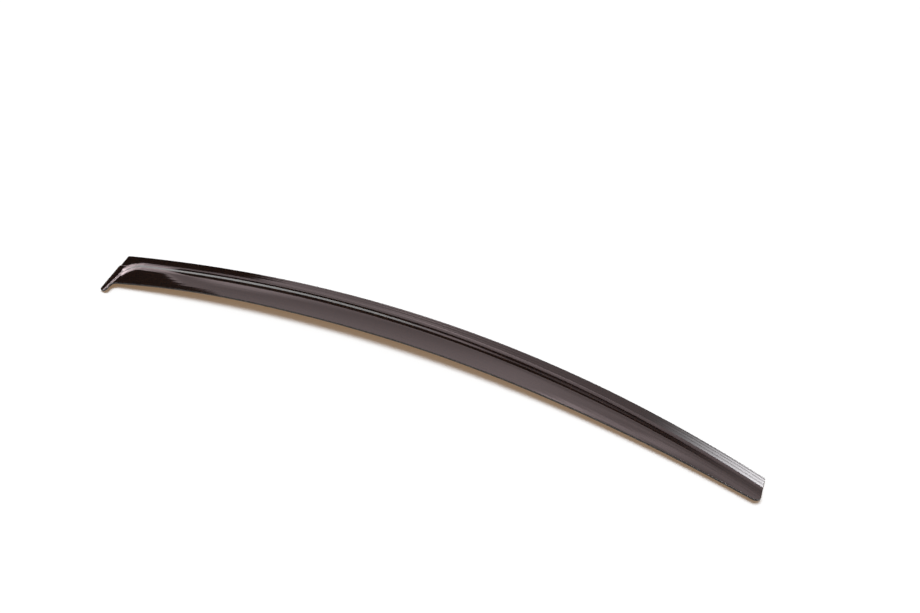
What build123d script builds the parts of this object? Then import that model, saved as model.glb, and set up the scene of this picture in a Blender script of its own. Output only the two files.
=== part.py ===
"""Window rain deflector for the right front door of a car.

One thermoformed sheet of smoked acrylic, lying on its bonding flange with the outer face up.
X runs along the length, from the wide rear end (-X) to the slim front end (+X).
Y runs across, with the bonding flange on the +Y side and the free lower edge on the -Y side.
Z points out of the car, and the bonding face of the flange is the plane Z = 0.
The origin is in the middle of the bonding flange, halfway along the length.
All sizes are in millimetres and degrees.
"""
from math import asin, cos, radians, sin, sqrt, tan
import os

from build123d import *

# sheet
SHEET = 2.5

# outer edge, an arc along the bonding flange
LENGTH = 977.0
OUTER_BOW = 83.6

# bonding flange along the length, whose inner edge is the outer arc moved to the rear,
# and the ramp that lifts the blade off it
FLANGE = 20.5
FLANGE_SHIFT = 11.0
RAMP_ANGLE = 21.0

# closed rear end: end flange, which tapers to the tab, its ramp and the rounded corner of the raised part
END_RAKE = 17.0
END_FLANGE = 13.0
END_TAPER = 6.0
END_RAMP_ANGLE = 32.0
CORNER_RADIUS = 22.0

# step across the flange, behind which the end flange stands higher
END_LIFT = 2.0
STEP_AT = 27.0
STEP_ANGLE = 45.0

# tab in which the end flange runs on past the lower edge
TAB_WIDTH = 13.0
TAB_LENGTH = 17.5
TAB_SLANT = 5.5

# free lower edge, an arc from the tab to the slim front end
LOWER_START = 79.9
LOWER_BOW = 61.2
SLIM_WIDTH = 46.9
SLIM_RAKE = 7.0

# height of the ridge above the bonding face, and of the lower edge at six stations
RIDGE = 9.6
RIDGE_FALL = 9.2
RIDGE_SLIM = 7.1
EDGE_REAR = 9.0
EDGE_SHOULDER = 16.0
EDGE_CREST = 18.0
EDGE_MIDDLE = 16.6
EDGE_FALL = 12.0
EDGE_SLIM = 8.2

# the stations, as distances from the middle of the length
SHOULDER_AT = -372.0
CREST_AT = -190.0
MIDDLE_AT = 70.0
FALL_AT = 275.0

# crown of the blade across its width
BLADE_CROWN_RADIUS = 600.0

# easing of the bends: where it starts, below the ridge or outside the foot, and its slope as a share of the ramp's
RIDGE_EASE = 0.35
RIDGE_EASE_SHARE = 0.8
END_RIDGE_EASE = 1.0
END_RIDGE_EASE_SHARE = 0.5
FOOT_EASE = 5.0
FOOT_EASE_SHARE = 0.5
END_FOOT_EASE = 0.8
END_FOOT_EASE_SHARE = 0.5

# corners of the outline
OUTER_CORNER = 3.0
TAB_CORNER = 4.0
TAB_ROOT = 8.0
SLIM_CORNER = 7.0

# how far the raised form is drawn past the outline before it is trimmed
OVERRUN = 10.0

# derived geometry: the outer edge's circle
half = LENGTH / 2
outer_radius = (half ** 2 + OUTER_BOW ** 2) / (2 * OUTER_BOW)
crest_y = FLANGE / 2
hub = Vector(0, crest_y - outer_radius)
foot_hub = hub - Vector(FLANGE_SHIFT, 0)
rear_corner = Vector(-half, crest_y - OUTER_BOW)
front_corner = Vector(half, crest_y - OUTER_BOW)

# derived geometry: directions along the rear edge and square to it, and the same for the end ramp
along_end = Vector(sin(radians(END_RAKE)), -cos(radians(END_RAKE)))
across_end = Vector(cos(radians(END_RAKE)), sin(radians(END_RAKE)))
along_ramp = Vector(sin(radians(END_RAKE - END_TAPER)), -cos(radians(END_RAKE - END_TAPER)))
across_ramp = Vector(cos(radians(END_RAKE - END_TAPER)), sin(radians(END_RAKE - END_TAPER)))

# derived geometry: the lower edge's circle through its two ends and the top of its bow
lower_rear = rear_corner + along_end * LOWER_START + across_end * TAB_WIDTH
lower_front = front_corner + Vector(SLIM_RAKE, -SLIM_WIDTH)
lower_chord = lower_front - lower_rear
lower_up = Vector(-lower_chord.Y, lower_chord.X).normalized()
lower_crest = (lower_rear + lower_front) * 0.5 + lower_up * LOWER_BOW
lower_radius = ((lower_chord.length / 2) ** 2 + LOWER_BOW ** 2) / (2 * LOWER_BOW)
lower_hub = lower_crest - lower_up * lower_radius

# the raised form is drawn this high, above every point of the blade
stand = max(EDGE_REAR, EDGE_SHOULDER, EDGE_CREST, EDGE_MIDDLE, EDGE_FALL, EDGE_SLIM, RIDGE) + SHEET


def inset_point(x, inset):
    """Point at a distance inside the outer edge, square to that edge where its length reads x."""
    turn = asin(x / outer_radius)
    reach = outer_radius - inset
    return hub + Vector(reach * sin(turn), reach * cos(turn))


def end_point(along, across):
    """Point near the rear end, by distance along its edge and square to it."""
    return rear_corner + along_end * along + across_end * across


def lower_inset(x):
    """Width of the deflector from the outer edge to the lower edge, where the outer edge reads x."""
    turn = asin(x / outer_radius)
    ray = Vector(sin(turn), cos(turn))
    gap = hub - lower_hub
    middle = ray.dot(gap)
    reach = -middle + sqrt(middle ** 2 - gap.dot(gap) + lower_radius ** 2)
    return outer_radius - reach


def arc_point(x, inset):
    """Point at its own x on the foot's arc, or on one that runs at a distance inside it."""
    reach = outer_radius - inset
    return Vector(x, foot_hub.Y + sqrt(reach ** 2 - (x - foot_hub.X) ** 2))


def far_point(x, beyond):
    """Point on the straight line that lies beyond the lower edge and the tab."""
    low = lower_rear - lower_up * (TAB_LENGTH + beyond)
    return Vector(x, low.Y + (x - low.X) * lower_chord.Y / lower_chord.X)


def raised_outline(height, flange, end_flange, beyond):
    """Plan of the raised part: an arc beside the flange, a rounded corner and a straight rear end."""
    far_x = half + beyond
    reach = outer_radius - flange
    end_foot = rear_corner + across_ramp * end_flange
    middle = along_ramp.dot(end_foot - foot_hub)
    spread = (end_foot - foot_hub).dot(end_foot - foot_hub) - reach ** 2
    corner = end_foot + along_ramp * (-middle - sqrt(middle ** 2 - spread))
    front = arc_point(far_x, flange)
    crest = arc_point((front.X + corner.X) / 2, flange)
    far_front = far_point(far_x, beyond)
    far_rear = end_foot + along_ramp * (lower_up.dot(far_front - end_foot) / lower_up.dot(along_ramp))
    with BuildSketch(Plane.XY.offset(height)) as plan:
        with BuildLine():
            ThreePointArc(front, crest, corner)
            Polyline(corner, far_rear, far_front, front)
        make_face()
        fillet(plan.vertices().sort_by_distance(Vector(corner.X, corner.Y, height))[0], CORNER_RADIUS)
    return plan.sketch


def blade_section(x, ridge, edge, drop):
    """Upright section of everything under the blade's upper face, lowered by drop."""
    ridge_inset = FLANGE + FLANGE_SHIFT * x / outer_radius + (ridge - SHEET) / tan(radians(RAMP_ANGLE))
    edge_inset = lower_inset(max(-half, min(half, x)))
    run = edge_inset - ridge_inset
    rise = edge - ridge
    chord = sqrt(run ** 2 + rise ** 2)
    sink = sqrt(BLADE_CROWN_RADIUS ** 2 - (chord / 2) ** 2)
    centre_inset = (ridge_inset + edge_inset) / 2 + sink * rise / chord
    centre_height = (ridge + edge) / 2 - sink * run / chord

    def top(inset):
        return centre_height + sqrt(BLADE_CROWN_RADIUS ** 2 - (inset - centre_inset) ** 2) - drop

    near = FLANGE / 2
    far = lower_inset(0) + LOWER_BOW + TAB_LENGTH + 3 * OVERRUN
    turn = asin(x / outer_radius)
    inward = (-sin(turn), -cos(turn), 0)
    section = Plane(origin=inset_point(x, 0), x_dir=inward, z_dir=(cos(turn), -sin(turn), 0))
    upright = 1 if section.y_dir.Z > 0 else -1
    with BuildSketch(section) as shape:
        with BuildLine():
            ThreePointArc(
                (near, upright * top(near)),
                (ridge_inset, upright * top(ridge_inset)),
                (far, upright * top(far)),
            )
            Polyline(
                (far, upright * top(far)),
                (far, -upright * stand),
                (near, -upright * stand),
                (near, upright * top(near)),
            )
        make_face()
    return shape.sketch


def blade_sections(drop):
    """The sections from past the rear end to past the front end."""
    return [
        blade_section(-half - 2 * OVERRUN, RIDGE, EDGE_REAR, drop),
        blade_section(-half, RIDGE, EDGE_REAR, drop),
        blade_section(SHOULDER_AT, RIDGE, EDGE_SHOULDER, drop),
        blade_section(CREST_AT, RIDGE, EDGE_CREST, drop),
        blade_section(MIDDLE_AT, RIDGE, EDGE_MIDDLE, drop),
        blade_section(FALL_AT, RIDGE_FALL, EDGE_FALL, drop),
        blade_section(half, RIDGE_SLIM, EDGE_SLIM, drop),
        blade_section(half + 3 * OVERRUN, RIDGE_SLIM, EDGE_SLIM, drop),
    ]


def ramped(base, flange, end_flange, run, end_run, height, upright, beyond):
    """Solid on ramps that rise from a foot in the flange, with upright sides above them."""
    foot = raised_outline(base, flange, end_flange, beyond)
    head = raised_outline(base + height, flange + run * height, end_flange + end_run * height, beyond)
    with BuildPart() as form:
        loft([foot, head], ruled=True)
        extrude(head, amount=upright)
    return form.part


# everything under the blade's upper face, and the same lowered by the sheet for the hollow below
with BuildPart() as under_blade:
    loft(blade_sections(0))

with BuildPart() as under_hollow:
    loft(blade_sections(SHEET))

# the ramps rise to above the ridge, and run this far for every millimetre that they rise
ramp_height = RIDGE + SHEET
ramp_run = 1 / tan(radians(RAMP_ANGLE))
end_run = 1 / tan(radians(END_RAMP_ANGLE))

# a gentler skirt eases the foot of the ramps
skirt_angle = RAMP_ANGLE * FOOT_EASE_SHARE
skirt_end_angle = END_RAMP_ANGLE * END_FOOT_EASE_SHARE
skirt_foot = FLANGE - FOOT_EASE
skirt_end_foot = END_FLANGE - END_FOOT_EASE
skirt_run = 1 / tan(radians(skirt_angle))
skirt_end_run = 1 / tan(radians(skirt_end_angle))
skirt_height = RIDGE - SHEET

# a brow with a slope between ramp and blade eases the ridge, and leaves each ramp a little below it
brow_run = 1 / tan(radians(RAMP_ANGLE * RIDGE_EASE_SHARE))
brow_end_run = 1 / tan(radians(END_RAMP_ANGLE * END_RIDGE_EASE_SHARE))
brow_foot = FLANGE + (ramp_run - brow_run) * (RIDGE - RIDGE_EASE - SHEET)
brow_end_foot = END_FLANGE + (end_run - brow_end_run) * (RIDGE - END_RIDGE_EASE - SHEET)

# how far each form is drawn past the outline, so that no two of them end on the same plane
skirt_beyond = OVERRUN * 0.6
ramp_beyond = OVERRUN
hollow_skirt_beyond = OVERRUN * 1.2
hollow_beyond = OVERRUN * 1.4
brow_beyond = OVERRUN * 1.8

# the raised form: ramps and skirt, cut off by the brow and by the blade's upper face
ramps = ramped(SHEET, FLANGE, END_FLANGE, ramp_run, end_run, ramp_height, stand, ramp_beyond)
skirt = ramped(
    SHEET, skirt_foot, skirt_end_foot, skirt_run, skirt_end_run, skirt_height, SHEET, skirt_beyond
)
brow = ramped(SHEET, brow_foot, brow_end_foot, brow_run, brow_end_run, ramp_height, stand, brow_beyond)
with BuildPart() as raised:
    add(ramps)
    add(skirt)
    add(brow, mode=Mode.INTERSECT)
    add(under_blade.part, mode=Mode.INTERSECT)

# the hollow under it, one sheet thickness inside the skirt, the ramps and the blade
foot_shift = SHEET * tan(radians(RAMP_ANGLE / 2))
end_shift = SHEET * tan(radians(END_RAMP_ANGLE / 2))
skirt_shift = SHEET * tan(radians(skirt_angle / 2))
skirt_end_shift = SHEET * tan(radians(skirt_end_angle / 2))
under_ramps = ramped(
    0, FLANGE + foot_shift, END_FLANGE + end_shift, ramp_run, end_run, ramp_height, stand, hollow_beyond
)
under_skirt = ramped(
    0, skirt_foot + skirt_shift, skirt_end_foot + skirt_end_shift, skirt_run, skirt_end_run,
    skirt_height, SHEET, hollow_skirt_beyond,
)
with BuildPart() as hollow:
    add(under_ramps)
    add(under_skirt)
    add(under_hollow.part, mode=Mode.INTERSECT)

# the outline that trims everything: outer arc, slim front end, lower arc, tab and rear end
tab_tip = LOWER_START + TAB_LENGTH
tab_inner = end_point(tab_tip, TAB_WIDTH)
tab_outer = end_point(tab_tip - TAB_SLANT, 0)
rounds = (
    (rear_corner, OUTER_CORNER),
    (front_corner, OUTER_CORNER),
    (lower_front, SLIM_CORNER),
    (lower_rear, TAB_ROOT),
    (tab_inner, TAB_CORNER),
    (tab_outer, TAB_CORNER),
)
with BuildPart() as outline:
    with BuildSketch() as plan:
        with BuildLine():
            ThreePointArc(rear_corner, (0, crest_y), front_corner)
            Line(front_corner, lower_front)
            ThreePointArc(lower_front, lower_crest, lower_rear)
            Polyline(lower_rear, tab_inner, tab_outer, rear_corner)
        make_face()
        for corner, radius in rounds:
            fillet(plan.vertices().sort_by_distance(corner)[0], radius)
    extrude(amount=stand + SHEET)

# side view of the step in the end flange, seen along the rear edge
end_view = Plane(origin=end_point(0, -OVERRUN), x_dir=along_end, z_dir=-across_end)
step_run = END_LIFT / tan(radians(STEP_ANGLE))
step_shift = SHEET * tan(radians(STEP_ANGLE / 2))
step_end = tab_tip + OVERRUN / 2
step_reach = OVERRUN + END_FLANGE + end_shift + CORNER_RADIUS / 2

plate_x = half + 2 * OVERRUN

# the deflector: flat sheet and raised form, then the step, the hollow and the trim
with BuildPart() as deflector:
    with BuildSketch():
        with BuildLine():
            Polyline(
                far_point(-plate_x, 2 * OVERRUN),
                far_point(plate_x, 2 * OVERRUN),
                (plate_x, crest_y + OVERRUN),
                (-plate_x, crest_y + OVERRUN),
                close=True,
            )
        make_face()
    extrude(amount=SHEET)
    add(raised.part)
    with BuildSketch(end_view):
        with BuildLine():
            Polyline(
                (STEP_AT, SHEET / 2),
                (STEP_AT, SHEET),
                (STEP_AT + step_run, SHEET + END_LIFT),
                (step_end, SHEET + END_LIFT),
                (step_end, SHEET / 2),
                close=True,
            )
        make_face()
    extrude(amount=-step_reach)
    with BuildSketch(end_view):
        with BuildLine():
            Polyline(
                (STEP_AT + step_shift, -SHEET),
                (STEP_AT + step_shift, 0),
                (STEP_AT + step_shift + step_run, END_LIFT),
                (step_end, END_LIFT),
                (step_end, -SHEET),
                close=True,
            )
        make_face()
    extrude(amount=-step_reach, mode=Mode.SUBTRACT)
    add(hollow.part, mode=Mode.SUBTRACT)
    add(outline.part, mode=Mode.INTERSECT)

deflector.part.label = "deflector"
os.makedirs("parts", exist_ok=True)
export_step(deflector.part, "parts/deflector.step")
print("deflector volume", round(deflector.part.volume), "solids", len(deflector.solids()))
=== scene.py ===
"""Looks of the window rain deflector: one formed sheet of smoked acrylic, lying face up on a white table.

The sheet is drawn again here as a fine mesh, because gloss shows every facet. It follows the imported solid,
apart from the bends, whose place, steepness and softness are set by the light that they mirror. Lengths in
the shape are in millimetres and become metres when the mesh is made.
"""
from math import asin, atan2, cos, hypot, pi, radians, sin, tan

import bpy
import numpy as np
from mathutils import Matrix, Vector
from mathutils.geometry import delaunay_2d_cdt


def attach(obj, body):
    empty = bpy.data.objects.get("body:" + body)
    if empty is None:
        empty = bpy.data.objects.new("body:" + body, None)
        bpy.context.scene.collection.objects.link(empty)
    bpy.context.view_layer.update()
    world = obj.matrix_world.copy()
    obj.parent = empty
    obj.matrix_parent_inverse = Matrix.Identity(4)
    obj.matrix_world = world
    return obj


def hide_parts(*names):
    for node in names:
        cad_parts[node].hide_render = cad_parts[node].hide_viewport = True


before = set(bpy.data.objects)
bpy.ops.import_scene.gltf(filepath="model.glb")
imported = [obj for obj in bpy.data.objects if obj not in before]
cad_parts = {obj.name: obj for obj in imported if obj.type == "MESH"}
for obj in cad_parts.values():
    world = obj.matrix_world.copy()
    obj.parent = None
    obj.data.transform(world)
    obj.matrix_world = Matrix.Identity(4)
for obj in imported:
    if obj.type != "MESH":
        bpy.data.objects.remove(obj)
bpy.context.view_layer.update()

MM = 0.001

# sheet and outer edge: thickness, chord of the edge, and its bow
SHEET = 2.5
LENGTH = 977.0
OUTER_BOW = 83.6

# width of the solid's bonding flange at mid-length, whose middle is the frame's origin
FLANGE = 20.5

# long ramp: inset of the fold at its foot, its angle, and the place from which it grows gentler
FOLD = 18.5
RAMP_ANGLE = 20.6
RAMP_ANGLE_SLIM = 19.8
GENTLER_FROM = -350.0

# closed rear end: rake of its edge, flange, ramp and its corner, step up of the flange, and tab
END_RAKE = 17.0
END_FLANGE = 13.0
END_TAPER = 6.0
END_RAMP_ANGLE = 37.0
CORNER_RADIUS = 22.0
END_LIFT = 2.0
STEP_AT = 27.0
STEP_ANGLE = 45.0
STEP_REACH = 40.0
TAB_WIDTH = 13.0
TAB_LENGTH = 17.5
TAB_SLANT = 5.5

# free lower edge: its start along the rear end, its bow, and the slim end's width and rake
LOWER_START = 79.9
LOWER_BOW = 61.2
SLIM_WIDTH = 46.9
SLIM_RAKE = 7.0

# heights of the ridge and of the lower edge, at stations along the length
RIDGE = 9.6
RIDGE_FALL = 9.2
RIDGE_SLIM = 7.1
EDGE_REAR = 9.0
EDGE_SHOULDER = 16.0
EDGE_CREST = 18.0
EDGE_MIDDLE = 16.6
EDGE_FALL = 12.0
EDGE_SLIM = 8.2
SHOULDER_AT = -372.0
CREST_AT = -190.0
MIDDLE_AT = 70.0
FALL_AT = 275.0

# radii of the blade's crown, of the bends, and of the corners in plan
BLADE_CROWN_RADIUS = 600.0
RIDGE_ROUND = 80.0
RIDGE_ROUND_REAR = 45.0
REAR_ROUND_TO = -330.0
RIDGE_ROUND_SLIM = 58.0
END_RIDGE_ROUND = 5.0
FOOT_ROUND = 46.0
FOOT_ROUND_SLIM = 26.0
END_FOOT_ROUND = 2.0
STEP_ROUND = 1.2
OUTER_CORNER = 3.0
TAB_CORNER = 4.0
TAB_ROOT = 8.0
SLIM_CORNER = 7.0

# polished cut edge: its rounding and the number of steps round it
RIM_ROUND = 0.5
RIM_STEPS = 4

half = LENGTH / 2
outer_radius = (half ** 2 + OUTER_BOW ** 2) / (2 * OUTER_BOW)
crest_y = FLANGE / 2
hub = np.array([0.0, crest_y - outer_radius])
rear_corner = np.array([-half, crest_y - OUTER_BOW])
front_corner = np.array([half, crest_y - OUTER_BOW])
along_end = np.array([sin(radians(END_RAKE)), -cos(radians(END_RAKE))])
across_end = np.array([cos(radians(END_RAKE)), sin(radians(END_RAKE))])
across_ramp = np.array([cos(radians(END_RAKE - END_TAPER)), sin(radians(END_RAKE - END_TAPER))])
lower_rear = rear_corner + along_end * LOWER_START + across_end * TAB_WIDTH
lower_front = front_corner + np.array([SLIM_RAKE, -SLIM_WIDTH])
lower_chord = lower_front - lower_rear
lower_up = np.array([-lower_chord[1], lower_chord[0]]) / np.linalg.norm(lower_chord)
lower_crest = (lower_rear + lower_front) / 2 + lower_up * LOWER_BOW
lower_radius = (lower_chord.dot(lower_chord) / 4 + LOWER_BOW ** 2) / (2 * LOWER_BOW)
lower_hub = lower_crest - lower_up * lower_radius
end_run = 1 / tan(radians(END_RAMP_ANGLE))

STATIONS = (-half, SHOULDER_AT, CREST_AT, MIDDLE_AT, FALL_AT, half)
EDGE_HEIGHTS = (EDGE_REAR, EDGE_SHOULDER, EDGE_CREST, EDGE_MIDDLE, EDGE_FALL, EDGE_SLIM)
RIDGE_HEIGHTS = (RIDGE, RIDGE, RIDGE, RIDGE, RIDGE_FALL, RIDGE_SLIM)


def end_point(along, across):
    """Point near the rear end, by distance along its edge and square to it."""
    return rear_corner + along_end * along + across_end * across


def lower_inset(turn):
    """Width from the outer edge to the lower edge, along a ray from the outer edge's hub."""
    ray = np.stack([np.sin(turn), np.cos(turn)], -1)
    gap = hub - lower_hub
    middle = ray @ gap
    reach = -middle + np.sqrt(middle ** 2 - gap @ gap + lower_radius ** 2)
    return outer_radius - reach


def natural_spline(at, value, x):
    """Smooth curve through a few stations, without curvature at its ends."""
    at = np.asarray(at, float)
    value = np.asarray(value, float)
    n = len(at)
    gap = np.diff(at)
    matrix = np.eye(n)
    right = np.zeros(n)
    for i in range(1, n - 1):
        matrix[i, i - 1] = gap[i - 1]
        matrix[i, i] = 2 * (gap[i - 1] + gap[i])
        matrix[i, i + 1] = gap[i]
        right[i] = 6 * ((value[i + 1] - value[i]) / gap[i] - (value[i] - value[i - 1]) / gap[i - 1])
    bend = np.linalg.solve(matrix, right)
    x = np.clip(x, at[0], at[-1])
    k = np.clip(np.searchsorted(at, x) - 1, 0, n - 2)
    a = at[k + 1] - x
    b = x - at[k]
    h = gap[k]
    return (
        (bend[k] * a ** 3 + bend[k + 1] * b ** 3) / (6 * h)
        + (value[k] / h - bend[k] * h / 6) * a
        + (value[k + 1] / h - bend[k + 1] * h / 6) * b
    )


def plan_coordinates(p):
    """Turn about the hub, inset from the outer edge, and distances from the rear end and along it."""
    from_hub = p - hub
    turn = np.arctan2(from_hub[:, 0], from_hub[:, 1])
    inset = outer_radius - np.hypot(from_hub[:, 0], from_hub[:, 1])
    from_corner = p - rear_corner
    return turn, inset, from_corner @ across_end, from_corner @ along_end


def length_place(p):
    """Place along the length, and the share of the way from GENTLER_FROM to the slim end."""
    turn = plan_coordinates(p)[0]
    x = np.clip(outer_radius * np.sin(turn), -half, half)
    return x, np.clip((x - GENTLER_FROM) / (half - GENTLER_FROM), 0, 1)


def ramp_run(p):
    """Run of the long ramp for a rise of one."""
    slim = length_place(p)[1]
    return 1 / np.tan(np.radians(RAMP_ANGLE + (RAMP_ANGLE_SLIM - RAMP_ANGLE) * slim))


def roof_height(p):
    """Height of the blade's upper face, carried on past its edges."""
    inset = plan_coordinates(p)[1]
    x = length_place(p)[0]
    ridge = natural_spline(STATIONS, RIDGE_HEIGHTS, x)
    edge = natural_spline(STATIONS, EDGE_HEIGHTS, x)
    ridge_inset = FOLD + (ridge - SHEET) * ramp_run(p)
    edge_inset = lower_inset(np.arcsin(x / outer_radius))
    run = edge_inset - ridge_inset
    rise = edge - ridge
    chord = np.hypot(run, rise)
    sink = np.sqrt(BLADE_CROWN_RADIUS ** 2 - (chord / 2) ** 2)
    centre_inset = (ridge_inset + edge_inset) / 2 + sink * rise / chord
    centre_height = (ridge + edge) / 2 - sink * run / chord
    return centre_height + np.sqrt(BLADE_CROWN_RADIUS ** 2 - (inset - centre_inset) ** 2)


def wall_height(p, flange, end_flange):
    """Height of the ramps above their foot: the long ramp, the end ramp and the rounded corner between."""
    run = ramp_run(p)
    e1 = plan_coordinates(p)[1] - flange
    e2 = (p - rear_corner) @ across_ramp - end_flange
    height = np.minimum(e1 / run, e2 / end_run)
    a1 = CORNER_RADIUS - e1
    a2 = CORNER_RADIUS - e2
    qa = run ** 2 + end_run ** 2
    qb = a1 * run + a2 * end_run
    qc = a1 ** 2 + a2 ** 2 - CORNER_RADIUS ** 2
    root = np.sqrt(np.maximum(qb ** 2 - qa * qc, 0))
    corner = (-qb + root) / qa
    in_corner = (a1 + corner * run > 0) & (a2 + corner * end_run > 0)
    return np.where(in_corner, corner, height)


def smooth_least(a, b, k):
    """The lesser of two heights, rounded where they cross."""
    return np.minimum(a, b) - np.maximum(k - np.abs(a - b), 0) ** 2 / (4 * k)


def smooth_most(a, b, k):
    """The greater of two heights, rounded where they cross."""
    return np.maximum(a, b) + np.maximum(k - np.abs(a - b), 0) ** 2 / (4 * k)


# half the distance over which a slope is measured, and the least reach of a rounding
SLOPE_STEP = 0.05
LEAST_REACH = 0.001


def slope(height, p):
    """Gradient of a height over the plan."""
    dx = np.array([SLOPE_STEP, 0.0])
    dy = np.array([0.0, SLOPE_STEP])
    gx = (height(p + dx) - height(p - dx)) / (2 * SLOPE_STEP)
    gy = (height(p + dy) - height(p - dy)) / (2 * SLOPE_STEP)
    return np.stack([gx, gy], -1)


def end_share(wall, p):
    """Share of the rear end in a ramp: 0 along the length, 1 at the end, between round the corner."""
    steep = (slope(wall, p) ** 2).sum(-1)
    run = ramp_run(p)
    return np.clip((steep * run ** 2 - 1) / (run ** 2 / end_run ** 2 - 1), 0, 1)


def long_rounds(p):
    """Radii of the long ramp's foot and ridge, which both change along the length."""
    x, slim = length_place(p)
    tall = (natural_spline(STATIONS, RIDGE_HEIGHTS, x) - SHEET) / (RIDGE - SHEET)
    rear = np.clip((REAR_ROUND_TO - x) / (REAR_ROUND_TO + half), 0, 1)
    foot = FOOT_ROUND + (FOOT_ROUND_SLIM - FOOT_ROUND) * slim
    ridge = RIDGE_ROUND + (RIDGE_ROUND_SLIM - RIDGE_ROUND) * slim + (RIDGE_ROUND_REAR - RIDGE_ROUND) * rear
    return foot, ridge * tall


def ridge_reach(wall, roof, p, sheet):
    """How near a ramp has to be to the blade to be rounded into it."""
    long_round = long_rounds(p)[1]
    radius = long_round + (END_RIDGE_ROUND - long_round) * end_share(wall, p) - sheet
    change = slope(wall, p) - slope(roof, p)
    return np.maximum(radius * (change ** 2).sum(-1) / 2, LEAST_REACH)


def foot_reach(wall, p, sheet):
    """How near a ramp has to be to the flange to be rounded into it."""
    long_round = long_rounds(p)[0]
    radius = long_round + (END_FOOT_ROUND - long_round) * end_share(wall, p) + sheet
    return np.maximum(radius * (slope(wall, p) ** 2).sum(-1) / 2, LEAST_REACH)


def flange_height(p):
    """Height of the flange's upper face, with the step behind which the rear end stands higher."""
    _, _, across, along = plan_coordinates(p)
    rise = np.where(across < STEP_REACH, along - STEP_AT, -STEP_AT) * tan(radians(STEP_ANGLE))
    k = STEP_ROUND * tan(radians(STEP_ANGLE)) ** 2 / 2
    return SHEET + smooth_most(smooth_least(rise, END_LIFT, k), 0.0, k)


def upper_height(p):
    """Height of the sheet's upper face."""
    def wall(q):
        return SHEET + wall_height(q, FOLD, END_FLANGE)

    raised = smooth_least(wall(p), roof_height(p), ridge_reach(wall, roof_height, p, 0))
    return smooth_most(raised, flange_height(p), foot_reach(wall, p, 0))


# the lower face's folds lie further in, so that the ramps keep the sheet's thickness
foot_shift = SHEET * tan(radians(RAMP_ANGLE / 2))
end_shift = SHEET * tan(radians(END_RAMP_ANGLE / 2))


def lower_height(p):
    """Height of the sheet's lower face."""
    def wall(q):
        return wall_height(q, FOLD + foot_shift, END_FLANGE + end_shift)

    def roof(q):
        return roof_height(q) - SHEET

    raised = smooth_least(wall(p), roof(p), ridge_reach(wall, roof, p, SHEET))
    return smooth_most(raised, flange_height(p) - SHEET, foot_reach(wall, p, SHEET))


# outline of the sheet, as a chain of sides that are straight or arcs, with a rounded corner after each
ARC_STEP = 4.0
TAB_STEP = 1.5
CORNER_STEPS = 10
CORNER_CLEAR = 0.3 * ARC_STEP


def arc_through(start, middle, end):
    """Points along the circle through three points."""
    ax, ay = start
    bx, by = middle
    cx, cy = end
    d = 2 * (ax * (by - cy) + bx * (cy - ay) + cx * (ay - by))
    sa = ax * ax + ay * ay
    sb = bx * bx + by * by
    sc = cx * cx + cy * cy
    centre = np.array([
        (sa * (by - cy) + sb * (cy - ay) + sc * (ay - by)) / d,
        (sa * (cx - bx) + sb * (ax - cx) + sc * (bx - ax)) / d,
    ])
    radius = hypot(ax - centre[0], ay - centre[1])
    first = atan2(ay - centre[1], ax - centre[0])
    last = atan2(cy - centre[1], cx - centre[0])
    n = max(2, round(abs(last - first) * radius / ARC_STEP))
    angle = np.linspace(first, last, n + 1)
    return centre + radius * np.stack([np.cos(angle), np.sin(angle)], -1)


def straight(start, end, step):
    """Points along a straight side."""
    n = max(1, round(np.linalg.norm(end - start) / step))
    return start + np.linspace(0, 1, n + 1)[:, None] * (end - start)


def round_corner(before, after, radius):
    """Trims two sides that meet and joins them by an arc. Returns the one side, the arc and the other."""
    corner = before[-1]
    tin = before[-2] - corner
    tin = tin / np.linalg.norm(tin)
    tout = after[1] - corner
    tout = tout / np.linalg.norm(tout)
    angle = np.arccos(np.clip(tin @ tout, -1, 1))
    back = radius / tan(angle / 2)
    centre = corner + (tin + tout) / np.linalg.norm(tin + tout) * radius / sin(angle / 2)

    def trim(side, direction):
        reach = (side - corner) @ direction
        kept = side[reach > back + CORNER_CLEAR]
        return kept, corner + direction * back

    kept_in, start = trim(before, tin)
    kept_out, end = trim(after, tout)
    a0 = atan2(*(start - centre)[::-1])
    a1 = atan2(*(end - centre)[::-1])
    sweep = (a1 - a0 + pi) % (2 * pi) - pi
    t = a0 + sweep * np.linspace(0, 1, CORNER_STEPS + 1)
    arc = centre + radius * np.stack([np.cos(t), np.sin(t)], -1)
    return kept_in, arc, kept_out


tab_tip = LOWER_START + TAB_LENGTH
tab_inner = end_point(tab_tip, TAB_WIDTH)
tab_outer = end_point(tab_tip - TAB_SLANT, 0)
sides = [
    arc_through(rear_corner, (0, crest_y), front_corner),
    straight(front_corner, lower_front, ARC_STEP),
    arc_through(lower_front, lower_crest, lower_rear),
    straight(lower_rear, tab_inner, TAB_STEP),
    straight(tab_inner, tab_outer, TAB_STEP),
    straight(tab_outer, rear_corner, ARC_STEP),
]
radii = [OUTER_CORNER, SLIM_CORNER, TAB_ROOT, TAB_CORNER, TAB_CORNER, OUTER_CORNER]
arcs = []
for i, radius in enumerate(radii):
    j = (i + 1) % len(sides)
    sides[i], arc, sides[j] = round_corner(sides[i], sides[j], radius)
    arcs.append(arc)
outline = np.concatenate([part for pair in zip(sides, arcs) for part in pair])


def runs_left(loop):
    """Whether a closed outline runs counter-clockwise."""
    following = np.roll(loop, -1, 0)
    return np.sum(loop[:, 0] * following[:, 1] - following[:, 0] * loop[:, 1]) > 0


def outward(loop):
    """Directions square to a closed outline, pointing out of it."""
    tangent = np.roll(loop, -1, 0) - np.roll(loop, 1, 0)
    tangent /= np.linalg.norm(tangent, axis=1)[:, None]
    side = 1 if runs_left(loop) else -1
    return side * np.stack([tangent[:, 1], -tangent[:, 0]], -1)


# keeps the level sides of an outline from dividing by zero
TINY = 1e-12


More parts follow.
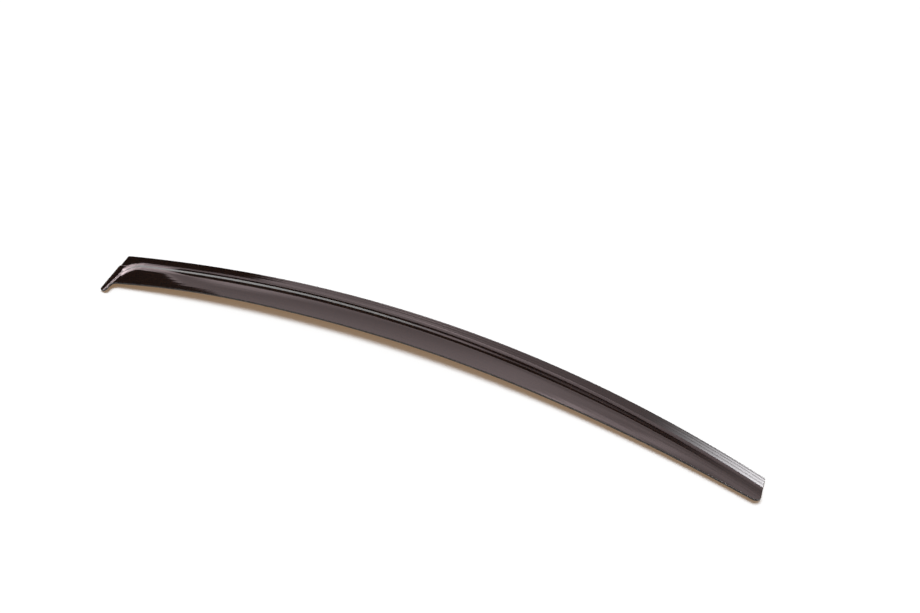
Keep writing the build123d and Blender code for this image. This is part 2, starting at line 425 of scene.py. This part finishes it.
def inside(points, loop):
    """Whether points lie inside a closed outline."""
    x, y = points[:, 0], points[:, 1]
    odd = np.zeros(len(points), bool)
    for a, b in zip(loop, np.roll(loop, -1, 0)):
        crosses = (a[1] > y) != (b[1] > y)
        if not crosses.any():
            continue
        at = a[0] + (y - a[1]) * (b[0] - a[0]) / (b[1] - a[1] + TINY)
        odd ^= crosses & (x < at)
    return odd


# plan points: rows at insets from the outer edge, dense at the bends, kept clear of the edge
COLUMN_STEP = 4.0
COLUMN_OVERRUN = 10.0
FIRST_ROW = 1.5
ROW_STEP = 3.0
BEND_START = 8.0
BEND_STEP = 0.9
BEND_END = 58.0
LAST_ROW = 125.0
EDGE_CLEAR = 0.9

# the rear end has finer rows of its own, over a zone given by distances from its edge and along it
END_ZONE_WIDTH = 48.0
END_ZONE_FROM = -2.0
END_ZONE_TO = 110.0
END_FIRST_ROW = 0.6
END_ROW_STEP = 1.1
END_COLUMN_STEP = 1.3


def length_points():
    """Points in rows along the length, each second row shifted by half a step."""
    insets = np.concatenate([
        np.arange(FIRST_ROW, BEND_START, ROW_STEP),
        np.arange(BEND_START, BEND_END, BEND_STEP),
        np.arange(BEND_END, LAST_ROW, ROW_STEP),
    ])
    arc_over_chord = asin(half / outer_radius) * outer_radius / half
    columns = np.arange(-half - COLUMN_OVERRUN, half + COLUMN_OVERRUN, COLUMN_STEP)
    turns = columns / outer_radius * arc_over_chord
    rows = []
    for index, inset in enumerate(insets):
        turn = turns + COLUMN_STEP / 2 * (index % 2) / outer_radius
        rows.append(hub + (outer_radius - inset) * np.stack([np.sin(turn), np.cos(turn)], -1))
    return np.concatenate(rows)


def end_points():
    """Points in rows along the rear end's edge, each second row shifted by half a step."""
    across, along = np.meshgrid(
        np.arange(END_FIRST_ROW, END_ZONE_WIDTH, END_ROW_STEP),
        np.arange(END_ZONE_FROM, END_ZONE_TO, END_COLUMN_STEP),
    )
    along = along + END_COLUMN_STEP / 2 * (np.arange(across.shape[1]) % 2)
    return end_point(along.reshape(-1, 1), across.reshape(-1, 1))


out = outward(outline)
rim = outline - out * RIM_ROUND
points = length_points()
_, _, points_across, points_along = plan_coordinates(points)
in_end_zone = (points_across < END_ZONE_WIDTH) & (points_along > END_ZONE_FROM)
points = np.concatenate([points[~in_end_zone], end_points()])
points = points[inside(points, outline - out * EDGE_CLEAR)]

# triangles over the plan, inside the rim, with the place of each rim point among them
INSIDE_ONLY = 1
MERGE_WITHIN = 0.0001
count = len(rim)
all_points = [Vector(p) for p in np.concatenate([rim, points])]
rim_edges = [(i, (i + 1) % count) for i in range(count)]
flat, _, cells, origin, _, _ = delaunay_2d_cdt(all_points, rim_edges, [], INSIDE_ONLY, MERGE_WITHIN)
plan = np.array([tuple(v) for v in flat])
rim_index = np.full(count, -1)
for new, olds in enumerate(origin):
    for old in olds:
        if old < count:
            rim_index[old] = new


def facing_up(cell):
    """A triangle's corners, in counter-clockwise order."""
    a, b, c = plan[list(cell)]
    turn = (b[0] - a[0]) * (c[1] - a[1]) - (c[0] - a[0]) * (b[1] - a[1])
    return tuple(cell) if turn > 0 else (cell[0], cell[2], cell[1])


def face_normals(height, p):
    """Unit normals of a height over the plan, pointing up."""
    g = slope(height, p)
    n = np.stack([-g[:, 0], -g[:, 1], np.ones(len(p))], -1)
    return n / np.linalg.norm(n, axis=1)[:, None]


# upper and lower face
n_plan = len(plan)
upper = np.column_stack([plan, upper_height(plan)])
lower = np.column_stack([plan, lower_height(plan)])
upper_normal = face_normals(upper_height, plan)
lower_normal = -face_normals(lower_height, plan)
triangles = [facing_up(cell) for cell in cells]
faces = triangles + [(a + n_plan, c + n_plan, b + n_plan) for a, b, c in triangles]

# the cut edge: rounded from the upper face over to the side, straight down, and rounded to the lower face
edge_side = np.column_stack([out, np.zeros(count)])


def edge_rings(face_rim, face_normal, inward):
    """Rings from a face over to the side, with their normals. Inward is the way along Z into the sheet."""
    rings = []
    for step in range(1, RIM_STEPS + 1):
        angle = pi / 2 * step / RIM_STEPS
        sink = np.array([0, 0, inward * RIM_ROUND * (1 - cos(angle))])
        ring = face_rim + (edge_side * RIM_ROUND * sin(angle) + sink)
        rings.append((ring, face_normal * cos(angle) + edge_side * sin(angle)))
    return rings


upper_rings = edge_rings(upper[rim_index], upper_normal[rim_index], -1)
lower_rings = edge_rings(lower[rim_index], lower_normal[rim_index], 1)
rings = upper_rings + lower_rings[::-1]
loops = [rim_index]
for i in range(len(rings)):
    loops.append(2 * n_plan + i * count + np.arange(count))
loops.append(rim_index + n_plan)
rim_runs_left = runs_left(rim)
for above, below in zip(loops[:-1], loops[1:]):
    for i, j in rim_edges:
        quad = (above[i], below[i], below[j], above[j])
        faces.append(quad if rim_runs_left else quad[::-1])
vertices = np.concatenate([upper, lower] + [ring for ring, _ in rings]) * MM
normals = np.concatenate([upper_normal, lower_normal] + [normal for _, normal in rings])
normals /= np.linalg.norm(normals, axis=1)[:, None]


def add_object(name, data):
    """New object in the scene that shows a mesh, a camera or a lamp."""
    added = bpy.data.objects.new(name, data)
    bpy.context.scene.collection.objects.link(added)
    return added


mesh = bpy.data.meshes.new("deflector_sheet")
mesh.from_pydata(vertices.tolist(), [], [tuple(int(k) for k in face) for face in faces])
mesh.validate()
mesh.polygons.foreach_set("use_smooth", [True] * len(mesh.polygons))
mesh.normals_split_custom_set_from_vertices(normals.tolist())
sheet = add_object("deflector_sheet", mesh)
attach(sheet, "root")
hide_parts("deflector")

# camera, by its place over the table: pitch, distance to the aim, and the part's place and heading there
PITCH = 35.561
AIM_DISTANCE = 1570.9
FOCAL_PIXELS = 1109.6
IMAGE_WIDTH = 920
SENSOR = 36.0
CLIP_METRES = 50.0
PART_AT = (-37.08, -45.14)
PART_HEADING = -29.051


def table_point(x, y, z):
    """Point in the part's frame, in metres, from the table's axes: right, away from the camera, and up."""
    c = cos(radians(PART_HEADING))
    s = sin(radians(PART_HEADING))
    dx = x - PART_AT[0]
    dy = y - PART_AT[1]
    return Vector((c * dx + s * dy, -s * dx + c * dy, z)) * MM


def aim(obj, target):
    """Turns an object so that its own -Z axis looks at a point."""
    obj.rotation_mode = "QUATERNION"
    obj.rotation_quaternion = (target - obj.location).to_track_quat("-Z", "Y")


camera_data = bpy.data.cameras.new("camera")
camera_data.sensor_width = SENSOR
camera_data.lens = FOCAL_PIXELS * SENSOR / IMAGE_WIDTH
camera_data.clip_end = CLIP_METRES
camera = add_object("camera", camera_data)
camera.location = table_point(0, -AIM_DISTANCE * cos(radians(PITCH)), AIM_DISTANCE * sin(radians(PITCH)))
aim(camera, table_point(0, 0, 0))
bpy.context.scene.camera = camera


def new_material(name):
    """Empty node material, with its nodes, its links and its output."""
    material = bpy.data.materials.new(name)
    material.use_nodes = True
    nodes = material.node_tree.nodes
    nodes.clear()
    return material, nodes, material.node_tree.links, nodes.new("ShaderNodeOutputMaterial")


def noise_node(nodes, scale, detail):
    """Noise texture."""
    node = nodes.new("ShaderNodeTexNoise")
    node.inputs["Scale"].default_value = scale
    node.inputs["Detail"].default_value = detail
    return node


def bump_node(nodes, height):
    """Bump, by the height of its relief in metres."""
    node = nodes.new("ShaderNodeBump")
    node.inputs["Distance"].default_value = height
    return node


def vector_node(nodes, operation):
    """Vector arithmetic."""
    node = nodes.new("ShaderNodeVectorMath")
    node.operation = operation
    return node


def span_node(nodes, old, new):
    """Carries one span of values over to another."""
    node = nodes.new("ShaderNodeMapRange")
    node.inputs["From Min"].default_value = old[0]
    node.inputs["From Max"].default_value = old[1]
    node.inputs["To Min"].default_value = new[0]
    node.inputs["To Max"].default_value = new[1]
    return node


def either_node(nodes, links, first, second):
    """The greater of two values."""
    node = nodes.new("ShaderNodeMath")
    node.operation = "MAXIMUM"
    links.new(first, node.inputs[0])
    links.new(second, node.inputs[1])
    return node


def mix_node(nodes, links, share, first, second):
    """Mix of two shaders, by the share of the second."""
    node = nodes.new("ShaderNodeMixShader")
    links.new(share, node.inputs[0])
    links.new(first, node.inputs[1])
    links.new(second, node.inputs[2])
    return node


# smoked acrylic: its tint to the eye and to light that falls through it
VIEW_TINT = (0.03, 0.016, 0.01, 1)
LAMP_TINT = (0.47, 0.37, 0.27, 1)
ACRYLIC_IOR = 1.49

# faint forming lines along the length, full on the flange and weaker up the ramp, by heights in metres
LINE_SCALE = 150.0
LINE_DETAIL = 2.0
LINE_HEIGHT = 0.0002
LINE_FADE_HEIGHTS = (0.0028, 0.006)
LINE_SHARES = (1.0, 0.15)

# soft waviness, and a little dust that dulls the gloss
WAVE_SCALE = 55.0
WAVE_DETAIL = 2.0
WAVE_HEIGHT = 0.00001
DUST_SCALE = 900.0
DUST_DETAIL = 4.0
DUST_SPAN = (0.45, 0.8)
ROUGHNESS_SPAN = (0.02, 0.045)


def smoked_acrylic():
    """Material of the sheet: tinted gloss to the eye, and a plain tint to the light that falls through."""
    material, nodes, links, output = new_material("smoked_acrylic")
    acrylic = nodes.new("ShaderNodeBsdfPrincipled")
    acrylic.inputs["Base Color"].default_value = VIEW_TINT
    acrylic.inputs["IOR"].default_value = ACRYLIC_IOR
    acrylic.inputs["Transmission Weight"].default_value = 1.0
    place = nodes.new("ShaderNodeTexCoord")

    # forming lines, by the distance in plan from the outer edge's hub
    from_hub = vector_node(nodes, "SUBTRACT")
    from_hub.inputs[1].default_value = (hub[0] * MM, hub[1] * MM, 0)
    links.new(place.outputs["Object"], from_hub.inputs[0])
    flat_hub = vector_node(nodes, "MULTIPLY")
    flat_hub.inputs[1].default_value = (1, 1, 0)
    links.new(from_hub.outputs["Vector"], flat_hub.inputs[0])
    hub_distance = vector_node(nodes, "LENGTH")
    links.new(flat_hub.outputs["Vector"], hub_distance.inputs[0])
    forming_lines = noise_node(nodes, LINE_SCALE, LINE_DETAIL)
    forming_lines.noise_dimensions = "1D"
    links.new(hub_distance.outputs["Value"], forming_lines.inputs["W"])
    height_parts = nodes.new("ShaderNodeSeparateXYZ")
    links.new(place.outputs["Object"], height_parts.inputs[0])
    line_share = span_node(nodes, LINE_FADE_HEIGHTS, LINE_SHARES)
    links.new(height_parts.outputs["Z"], line_share.inputs["Value"])
    line_bump = bump_node(nodes, LINE_HEIGHT)
    links.new(line_share.outputs["Result"], line_bump.inputs["Strength"])
    links.new(forming_lines.outputs["Fac"], line_bump.inputs["Height"])

    # waviness on top of the lines
    waviness = noise_node(nodes, WAVE_SCALE, WAVE_DETAIL)
    links.new(place.outputs["Object"], waviness.inputs["Vector"])
    wave_bump = bump_node(nodes, WAVE_HEIGHT)
    links.new(waviness.outputs["Fac"], wave_bump.inputs["Height"])
    links.new(line_bump.outputs["Normal"], wave_bump.inputs["Normal"])
    links.new(wave_bump.outputs["Normal"], acrylic.inputs["Normal"])

    # dust
    dust = noise_node(nodes, DUST_SCALE, DUST_DETAIL)
    links.new(place.outputs["Object"], dust.inputs["Vector"])
    gloss = span_node(nodes, DUST_SPAN, ROUGHNESS_SPAN)
    links.new(dust.outputs["Fac"], gloss.inputs["Value"])
    links.new(gloss.outputs["Result"], acrylic.inputs["Roughness"])

    # lamplight goes straight through
    through = nodes.new("ShaderNodeBsdfTransparent")
    through.inputs["Color"].default_value = LAMP_TINT
    rays = nodes.new("ShaderNodeLightPath").outputs
    lamp_rays = either_node(nodes, links, rays["Is Shadow Ray"], rays["Is Diffuse Ray"])
    mix = mix_node(nodes, links, lamp_rays.outputs[0], acrylic.outputs[0], through.outputs[0])
    links.new(mix.outputs[0], output.inputs["Surface"])
    return material


sheet.data.materials.append(smoked_acrylic())

# table: half its width and its depth below the sheet, in metres, and its white
TABLE_HALF = 3.0
TABLE_DROP = 0.0002
TABLE_WHITE = (0.93, 0.93, 0.93, 1)


def white_table():
    """Material of the table: plain matt white."""
    material, nodes, links, output = new_material("white_table")
    paper = nodes.new("ShaderNodeBsdfDiffuse")
    paper.inputs["Color"].default_value = TABLE_WHITE
    links.new(paper.outputs[0], output.inputs["Surface"])
    return material


table_mesh = bpy.data.meshes.new("table")
table_signs = [(-1, -1), (1, -1), (1, 1), (-1, 1)]
table_corners = [(x * TABLE_HALF, y * TABLE_HALF, -TABLE_DROP) for x, y in table_signs]
table_mesh.from_pydata(table_corners, [], [(0, 1, 2, 3)])
table = add_object("table", table_mesh)
table.data.materials.append(white_table())

# world: white to the camera and through the sheet, a weak even fill, and plain walls in the gloss
WHITE = (1, 1, 1, 1)
SEEN_LEVEL = 1.0
FILL_LEVEL = 0.22
WALL_COLOR = (1.0, 0.95, 0.96, 1)
WALL_LEVEL = 0.9


def background_node(nodes, color, level):
    """Even light from all round."""
    node = nodes.new("ShaderNodeBackground")
    node.inputs["Color"].default_value = color
    node.inputs["Strength"].default_value = level
    return node


def light_world(world):
    """Gives the world its light, by the kind of ray."""
    world.use_nodes = True
    nodes = world.node_tree.nodes
    links = world.node_tree.links
    nodes.clear()
    output = nodes.new("ShaderNodeOutputWorld")
    rays = nodes.new("ShaderNodeLightPath").outputs
    white = background_node(nodes, WHITE, SEEN_LEVEL)
    walls = background_node(nodes, WALL_COLOR, WALL_LEVEL)
    fill = background_node(nodes, WHITE, FILL_LEVEL)
    unseen = mix_node(nodes, links, rays["Is Glossy Ray"], fill.outputs[0], walls.outputs[0])
    seen = either_node(nodes, links, rays["Is Camera Ray"], rays["Is Transmission Ray"])
    light = mix_node(nodes, links, seen.outputs[0], unseen.outputs[0], white.outputs[0])
    links.new(light.outputs[0], output.inputs["Surface"])


studio = bpy.data.worlds.new("studio")
bpy.context.scene.world = studio
light_world(studio)

# broad lamp overhead, a little in front of the sheet, wide enough for the shadow's soft edge
LAMP_PLACE = (0, -250, 2200)
LAMP_WIDTH = 42.0
LAMP_STRENGTH = 2.85
lamp_data = bpy.data.lights.new("overhead", "SUN")
lamp_data.energy = LAMP_STRENGTH
lamp_data.angle = radians(LAMP_WIDTH)
lamp = add_object("overhead", lamp_data)
lamp.location = table_point(*LAMP_PLACE)
aim(lamp, table_point(0, 0, 0))
lamp.visible_glossy = False
lamp.visible_transmission = False

# the studio round the table as the gloss sees it, by azimuth from straight away and elevation, in degrees;
# a pair of angles is a span over which something fades in or out
WALL_AT = (0.0, 8.0, 12.0, 14.0, 17.0, 20.0, 24.0, 28.0, 31.0, 34.5, 37.5, 90.0)
WALL_TONE = (0.02, 0.02, 0.03, 0.75, 0.56, 0.76, 1.1, 1.4, 1.55, 1.2, 0.8, 0.8)
SKIRTING_TOP = (12, 14)

# the right wall is dimmer between two elevations
RIGHT_LOSS = 0.22
RIGHT_FROM = (9, 14)
RIGHT_FOOT = (18, 22)
RIGHT_TOP = (34, 36)

# low glow on the wall left of the middle
GLOW_LEVEL = 0.45
GLOW_END = (-10, 0)
GLOW_HEIGHT = 14.0
GLOW_SPREAD = 1.6

# strip lamp high on the wall, rising and growing weaker to the right
STRIP_LEVEL = 1.7
STRIP_HEIGHT = 33.3
STRIP_RISE = 2.7
STRIP_RISE_AT = (11, 17)
STRIP_SPREAD = 1.5
STRIP_FROM = (-6, 0)
STRIP_LOSS = 0.45
STRIP_LOSS_AT = (11, 16)
STRIP_LAST_LOSS = 0.5
STRIP_LAST_AT = (18, 22)

# glow of the table at the wall's foot, taller and weaker to the right
TABLE_GLOW = 0.8
TABLE_GLOW_FROM = (0, 8)
TABLE_GLOW_LOSS = 0.4
TABLE_GLOW_LOSS_AT = (8, 15)
TABLE_GLOW_TOP = 3.0
TABLE_GLOW_RISE = 4.0
TABLE_GLOW_RISE_AT = (10, 18)

# left side: bare table, then a side lamp, then a low lamp, with a dark wall above them
LEFT_FROM = (-80, -60)
BARE_TABLE_TONE = 1.3
BARE_TABLE_END = (-13.6, -12.8)
SIDE_LAMP_TONE = 2.7
SIDE_LAMP_LOSS = 0.9
SIDE_LAMP_LOSS_AT = (-22, -19)
SIDE_LAMP_END = (-16.4, -15.2)
SIDE_LAMP_TOP = (19.2, 19.8)
LOW_LAMP_LEVEL = 4.0
LOW_LAMP_END = (-26, -23)
LOW_LAMP_TOP = (13, 19)
LOW_LAMP_ABOVE = 0.04
DARK_TONE = 0.05
DARK_FOOT = (19.5, 20.1)
DARK_EDGE = -13.0
DARK_EDGE_OUT = 2.0
DARK_EDGE_OUT_AT = (20.5, 24)
DARK_EDGE_BACK = 1.4
DARK_EDGE_BACK_AT = (27, 31)
DARK_EDGE_SOFT = 0.9

# right side: a grey skirting, and a window above
FAR_RIGHT_TONE = 0.42
FAR_RIGHT_FROM = (22, 29)
WINDOW_LEVEL = 16.0
WINDOW_FROM = (13, 22.5)
WINDOW_END = (45, 60)
WINDOW_SILL = (37.5, 45)
WINDOW_TOP = (52, 58)

# colours of the walls and of the wall round the window
WARM_WALL = np.array([1.17, 0.955, 0.985])
COOL_WALL = np.array([1.02, 0.995, 1.03])
COOL_FROM = (12, 16)
COOL_FOOT = (37, 39)

# the dome that carries these tones: its distance, and its rows and columns in degrees
DOME_DISTANCE = 30000.0
DOME_FOOT = 0.4
DOME_TOP = 62.0
DOME_ROW = 0.4
DOME_COLUMN = 0.75


def ease(x, span):
    """Rises smoothly from 0 at the start of a span to 1 at its end."""
    low, high = span
    t = np.clip((x - low) / (high - low), 0, 1)
    return t * t * (3 - 2 * t)


def bell(x, middle, spread):
    """Is 1 at the middle and falls off on both sides."""
    return np.exp(-((x - middle) / spread) ** 2)


def toward(tone, other, share):
    """Tone moved towards another one by a share."""
    return tone + (other - tone) * share


def wall_tone(az, el):
    """The pale walls over their dark skirting, with the glow and the strip lamp on them."""
    right = ease(az, RIGHT_FROM) * ease(el, RIGHT_FOOT) * (1 - ease(el, RIGHT_TOP))
    wall = np.interp(el, WALL_AT, WALL_TONE) * (1 - RIGHT_LOSS * right)
    glow = GLOW_LEVEL * (1 - ease(az, GLOW_END)) * bell(el, GLOW_HEIGHT, GLOW_SPREAD)
    strip_share = ease(az, STRIP_FROM) * (1 - STRIP_LOSS * ease(az, STRIP_LOSS_AT))
    strip_share = strip_share * (1 - STRIP_LAST_LOSS * ease(az, STRIP_LAST_AT))
    strip_height = STRIP_HEIGHT + STRIP_RISE * ease(az, STRIP_RISE_AT)
    strip = STRIP_LEVEL * strip_share * bell(el, strip_height, STRIP_SPREAD)
    return wall + glow + strip


def table_glow(az, el):
    """The table's glow at the foot of the wall."""
    top = TABLE_GLOW_TOP + TABLE_GLOW_RISE * ease(az, TABLE_GLOW_RISE_AT)
    level = TABLE_GLOW - TABLE_GLOW_LOSS * ease(az, TABLE_GLOW_LOSS_AT)
    return ease(az, TABLE_GLOW_FROM) * level * (1 - ease(el, (0, top)))


def with_left_side(tone, az, el):
    """Tone with the forms of the left side in front of it."""
    bare_table = (1 - ease(az, BARE_TABLE_END)) * (1 - ease(el, SKIRTING_TOP))
    tone = toward(tone, BARE_TABLE_TONE, bare_table)
    side_lamp = ease(az, LEFT_FROM) * (1 - ease(az, SIDE_LAMP_END)) * (1 - ease(el, SIDE_LAMP_TOP))
    tone = toward(tone, SIDE_LAMP_TONE - SIDE_LAMP_LOSS * ease(az, SIDE_LAMP_LOSS_AT), side_lamp)
    low_lamp = LOW_LAMP_ABOVE + LOW_LAMP_LEVEL * (1 - ease(el, LOW_LAMP_TOP))
    tone = toward(tone, low_lamp, (1 - ease(az, LOW_LAMP_END)) * ease(az, LEFT_FROM))
    edge = DARK_EDGE + DARK_EDGE_OUT * ease(el, DARK_EDGE_OUT_AT)
    edge = edge - DARK_EDGE_BACK * ease(el, DARK_EDGE_BACK_AT)
    dark = ease(az, LEFT_FROM) * (1 - ease(az, (edge, edge + DARK_EDGE_SOFT))) * ease(el, DARK_FOOT)
    return toward(tone, DARK_TONE, dark)


def with_right_side(tone, az, el):
    """Tone with the grey skirting and the window of the right side."""
    skirting = ease(az, FAR_RIGHT_FROM) * (1 - ease(el, SKIRTING_TOP))
    window_across = ease(az, WINDOW_FROM) * (1 - ease(az, WINDOW_END))
    window_up = ease(el, WINDOW_SILL) * (1 - ease(el, WINDOW_TOP))
    return toward(tone, FAR_RIGHT_TONE, skirting) + WINDOW_LEVEL * window_across * window_up


def studio_colors(az, el):
    """Colour of the studio in each direction."""
    tone = wall_tone(az, el) + table_glow(az, el)
    tone = with_right_side(with_left_side(tone, az, el), az, el)
    cool = ease(az, COOL_FROM) * ease(el, COOL_FOOT)
    return tone[:, None] * (WARM_WALL + (COOL_WALL - WARM_WALL) * cool[:, None])


def dome_point(az, el):
    """Point of the dome, by its direction in radians."""
    out_from_middle = DOME_DISTANCE * cos(el)
    return table_point(out_from_middle * sin(az), out_from_middle * cos(az), DOME_DISTANCE * sin(el))


def wall_glow():
    """Material of the dome: it shines in the colour of each point."""
    material, nodes, links, output = new_material("studio_walls")
    glow = nodes.new("ShaderNodeEmission")
    tone_node = nodes.new("ShaderNodeAttribute")
    tone_node.attribute_name = "tone"
    links.new(tone_node.outputs["Color"], glow.inputs["Color"])
    links.new(glow.outputs[0], output.inputs["Surface"])
    return material


dome_columns = np.arange(-180, 180, DOME_COLUMN)
dome_rows = np.arange(DOME_FOOT, DOME_TOP, DOME_ROW)
dome_az, dome_el = (grid.ravel() for grid in np.meshgrid(dome_columns, dome_rows))
dome_colors = studio_colors(dome_az, dome_el)
dome_places = [dome_point(az, el) for az, el in zip(np.radians(dome_az), np.radians(dome_el))]
wide = len(dome_columns)
dome_faces = [
    (r * wide + c, r * wide + (c + 1) % wide, (r + 1) * wide + (c + 1) % wide, (r + 1) * wide + c)
    for r in range(len(dome_rows) - 1)
    for c in range(wide)
]
dome_mesh = bpy.data.meshes.new("studio_walls")
dome_mesh.from_pydata(dome_places, [], dome_faces)
painted = dome_mesh.color_attributes.new("tone", "FLOAT_COLOR", "POINT")
painted.data.foreach_set("color", np.column_stack([dome_colors, np.ones(len(dome_az))]).ravel())
dome = add_object("studio_walls", dome_mesh)
dome.visible_camera = False
dome.visible_diffuse = False
dome.visible_shadow = False
dome.visible_transmission = False
dome.data.materials.append(wall_glow())

bpy.context.scene.view_settings.view_transform = "Standard"
